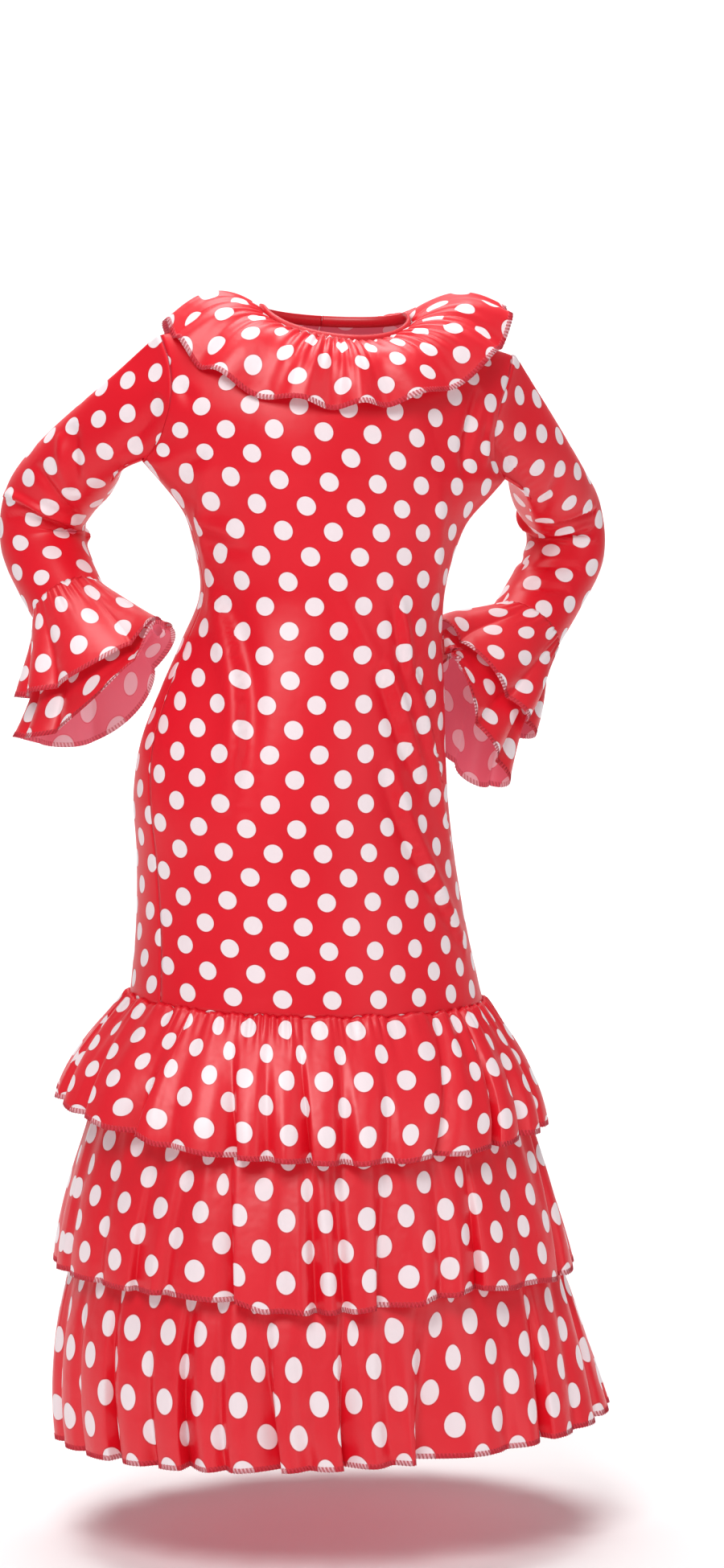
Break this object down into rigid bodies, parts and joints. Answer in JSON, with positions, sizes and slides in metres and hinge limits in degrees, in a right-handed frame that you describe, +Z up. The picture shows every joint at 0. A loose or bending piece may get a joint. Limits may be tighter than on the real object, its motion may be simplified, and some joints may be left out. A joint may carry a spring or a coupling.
{
  "type": "flamenco dress",
  "caption": "Long red flamenco dress with white polka dots, a ruffle collar, gathered cuffs on bent sleeves and flounces below the knee.",
  "frame": {"origin": "middle of the neck opening at the height of the shoulders, where the wearer's shoulders hold the dress", "axes": "+Z up along the dress, front towards -Y, the wearer's left at +X; metres"},
  "size_m": [0.5057, 0.4118, 0.9068],
  "materials": {
    "satin": "satin",
    "binding": "satin"
  },
  "bodies": {
    "root": {"front": "satin", "back_left": "satin", "back_right": "satin", "back_placket": "satin", "neck_binding": "binding", "collar_ruffle": "satin", "sleeve_right": "satin", "sleeve_left": "satin", "cuff_upper_right": "satin", "cuff_upper_left": "satin", "cuff_lower_right": "satin", "cuff_lower_left": "satin", "skirt_base": "satin", "flounce_top": "satin", "flounce_middle": "satin", "flounce_bottom": "satin"}
  },
  "joints": []
}
